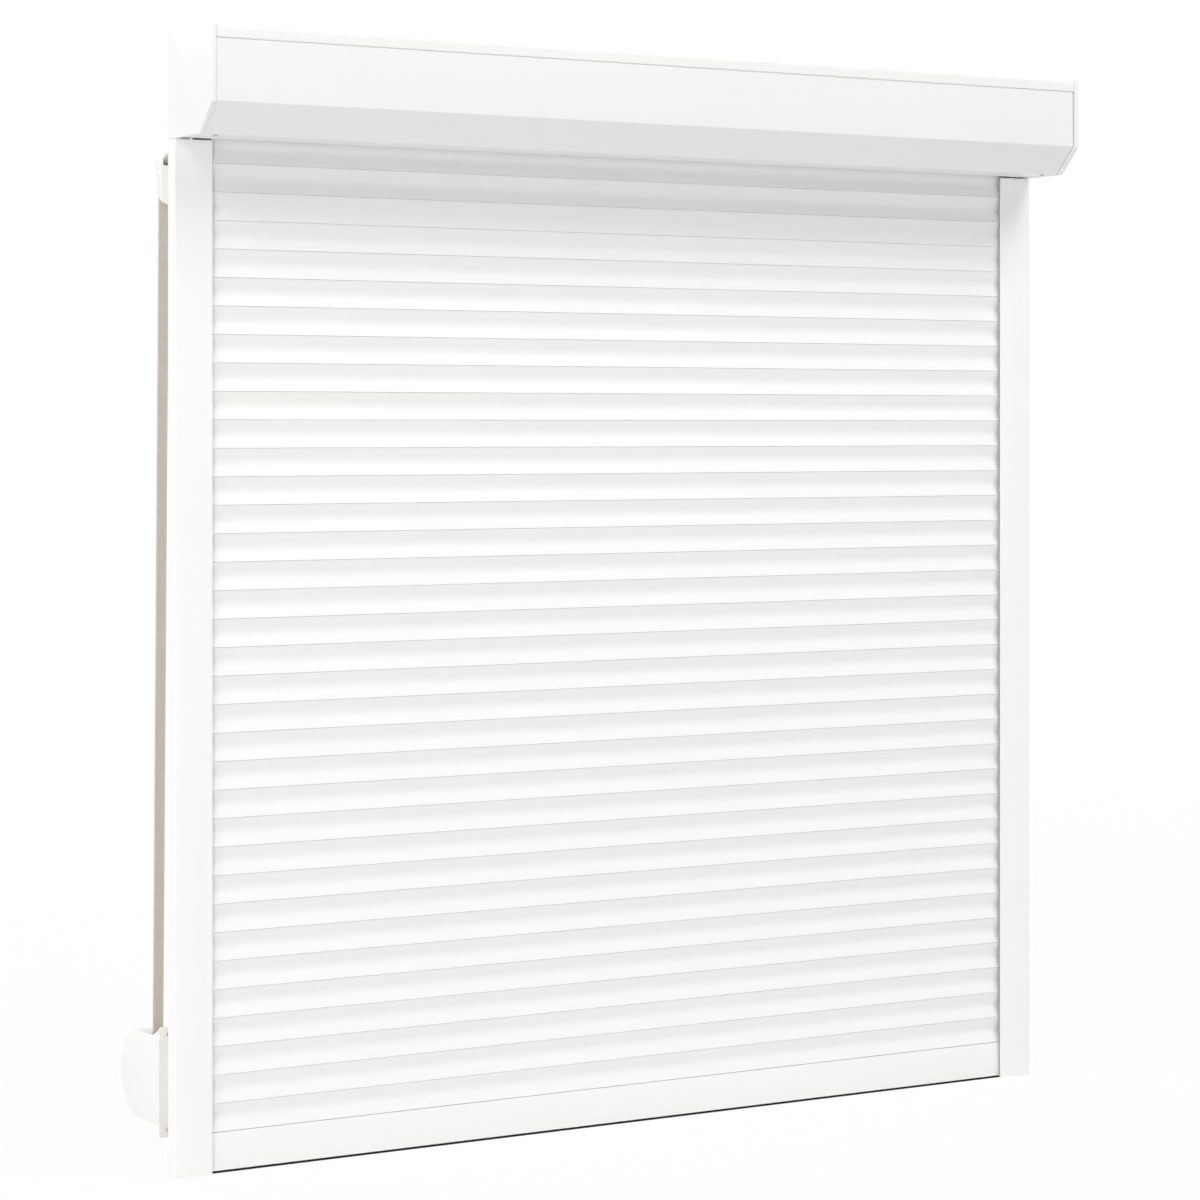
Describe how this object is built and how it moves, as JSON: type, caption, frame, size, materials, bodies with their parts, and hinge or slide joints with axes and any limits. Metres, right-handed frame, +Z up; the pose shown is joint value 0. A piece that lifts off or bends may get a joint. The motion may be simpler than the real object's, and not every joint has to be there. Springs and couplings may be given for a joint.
{
  "type": "exterior roller shutter",
  "caption": "Front-mounted roller shutter: sloped box, two guide rails, slatted curtain with end bar, and a strap drive with guide and winder.",
  "frame": {"origin": "middle of the box's back face, level with the roller's axis", "axes": "+X to the right seen from outside, +Y into the wall, +Z up"},
  "size_m": [1.386, 0.32, 1.4785],
  "materials": {
    "box_white": "white powder coat, satin",
    "slat_white": "white baked enamel, satin",
    "rail_white": "white powder coat, satin",
    "tube_steel": "galvanised",
    "screw_steel": "zinc plated",
    "spring_steel": "plain",
    "white_plastic": "moulded, white",
    "grey_plastic": "moulded, dark grey",
    "bearing_steel": "ground",
    "seal_pile": "taupe sealing strip",
    "foot_rubber": "black, matt",
    "strap_web": "woven taupe webbing with paler edges",
    "brass": "plain"
  },
  "bodies": {
    "casing": {"rear_shell": "box_white", "front_cover": "box_white", "end_cap_left": "box_white", "end_cap_right": "box_white", "shell_screws": "screw_steel", "cover_screws": "screw_steel", "rail_left": "rail_white", "rail_right": "rail_white", "rail_seals_left": "seal_pile", "rail_seals_right": "seal_pile", "inlet_funnels": "grey_plastic", "bearing_left": "bearing_steel", "bearing_right": "bearing_steel", "strap": "strap_web", "guide_plate": "white_plastic", "guide_pin": "screw_steel", "winder_flange": "white_plastic", "winder_case": "white_plastic", "winder_axle": "screw_steel", "winder_screws": "brass"},
    "roller": {"roller_tube": "tube_steel", "strap_pulley": "white_plastic", "tube_plug": "grey_plastic", "strap_roll_upper": "strap_web"},
    "curtain_01": {"slat_run_01": "slat_white", "hangers": "spring_steel"},
    "curtain_02": {"slat_run_02": "slat_white"},
    "curtain_03": {"slat_run_03": "slat_white"},
    "curtain_04": {"slat_run_04": "slat_white"},
    "curtain_05": {"slat_run_05": "slat_white"},
    "curtain_06": {"slat_run_06": "slat_white"},
    "curtain_07": {"slat_run_07": "slat_white"},
    "curtain_08": {"slat_run_08": "slat_white"},
    "curtain_09": {"slat_run_09": "slat_white"},
    "curtain_10": {"slat_run_10": "slat_white"},
    "curtain_11": {"slat_run_11": "slat_white"},
    "curtain_12": {"slat_run_12": "slat_white"},
    "end_bar": {"bottom_bar": "slat_white", "bottom_seal": "foot_rubber"},
    "guide_wheel": {"guide_roller": "white_plastic"},
    "spool": {"winder_drum": "white_plastic", "winder_spring": "spring_steel", "strap_roll_lower": "strap_web"}
  },
  "joints": [
    {"name": "curtain_lift", "type": "slide", "parent": "casing", "child": "end_bar", "axis": [0, 0, 1], "range_m": [0, 1.285]},
    {"name": "roller_turn", "type": "hinge", "parent": "casing", "child": "roller", "pos_m": [0, -0.0685, 0], "axis": [1, 0, 0], "range_deg": [0, 1732]},
    {"name": "run_01_lift", "type": "slide", "parent": "casing", "child": "curtain_01", "axis": [0, 0, 1], "range_m": [0, 0.0228], "deforming": ["slat_run_01", "hangers"]},
    {"name": "run_02_lift", "type": "slide", "parent": "casing", "child": "curtain_02", "axis": [0, 0, 1], "range_m": [0, 0.128], "deforming": ["slat_run_02"]},
    {"name": "run_03_lift", "type": "slide", "parent": "casing", "child": "curtain_03", "axis": [0, 0, 1], "range_m": [0, 0.2332], "deforming": ["slat_run_03"]},
    {"name": "run_04_lift", "type": "slide", "parent": "casing", "child": "curtain_04", "axis": [0, 0, 1], "range_m": [0, 0.3385], "deforming": ["slat_run_04"]},
    {"name": "run_05_lift", "type": "slide", "parent": "casing", "child": "curtain_05", "axis": [0, 0, 1], "range_m": [0, 0.4437], "deforming": ["slat_run_05"]},
    {"name": "run_06_lift", "type": "slide", "parent": "casing", "child": "curtain_06", "axis": [0, 0, 1], "range_m": [0, 0.5489], "deforming": ["slat_run_06"]},
    {"name": "run_07_lift", "type": "slide", "parent": "casing", "child": "curtain_07", "axis": [0, 0, 1], "range_m": [0, 0.6541], "deforming": ["slat_run_07"]},
    {"name": "run_08_lift", "type": "slide", "parent": "casing", "child": "curtain_08", "axis": [0, 0, 1], "range_m": [0, 0.7594], "deforming": ["slat_run_08"]},
    {"name": "run_09_lift", "type": "slide", "parent": "casing", "child": "curtain_09", "axis": [0, 0, 1], "range_m": [0, 0.8646], "deforming": ["slat_run_09"]},
    {"name": "run_10_lift", "type": "slide", "parent": "casing", "child": "curtain_10", "axis": [0, 0, 1], "range_m": [0, 0.9698], "deforming": ["slat_run_10"]},
    {"name": "run_11_lift", "type": "slide", "parent": "casing", "child": "curtain_11", "axis": [0, 0, 1], "range_m": [0, 1.075], "deforming": ["slat_run_11"]},
    {"name": "run_12_lift", "type": "slide", "parent": "casing", "child": "curtain_12", "axis": [0, 0, 1], "range_m": [0, 1.1803], "deforming": ["slat_run_12"]},
    {"name": "guide_wheel_turn", "type": "hinge", "parent": "casing", "child": "guide_wheel", "pos_m": [-0.668, 0.064, -0.102], "axis": [1, 0, 0], "range_deg": [-7170, 0]},
    {"name": "spool_turn", "type": "hinge", "parent": "casing", "child": "spool", "pos_m": [-0.668, 0.125, -1.2985], "axis": [1, 0, 0], "range_deg": [0, 1259]}
  ],
  "couplings": [
    {"joint": "roller_turn", "follows": "curtain_lift", "rad_per_m": 23.502},
    {"joint": "run_01_lift", "follows": "curtain_lift", "ratio": 0.01734},
    {"joint": "run_02_lift", "follows": "curtain_lift", "ratio": 0.09923},
    {"joint": "run_03_lift", "follows": "curtain_lift", "ratio": 0.18111},
    {"joint": "run_04_lift", "follows": "curtain_lift", "ratio": 0.263},
    {"joint": "run_05_lift", "follows": "curtain_lift", "ratio": 0.34489},
    {"joint": "run_06_lift", "follows": "curtain_lift", "ratio": 0.42678},
    {"joint": "run_07_lift", "follows": "curtain_lift", "ratio": 0.50867},
    {"joint": "run_08_lift", "follows": "curtain_lift", "ratio": 0.59056},
    {"joint": "run_09_lift", "follows": "curtain_lift", "ratio": 0.67245},
    {"joint": "run_10_lift", "follows": "curtain_lift", "ratio": 0.75433},
    {"joint": "run_11_lift", "follows": "curtain_lift", "ratio": 0.83622},
    {"joint": "run_12_lift", "follows": "curtain_lift", "ratio": 0.91811},
    {"joint": "guide_wheel_turn", "follows": "curtain_lift", "rad_per_m": -97.313},
    {"joint": "spool_turn", "follows": "curtain_lift", "rad_per_m": 17.063}
  ]
}
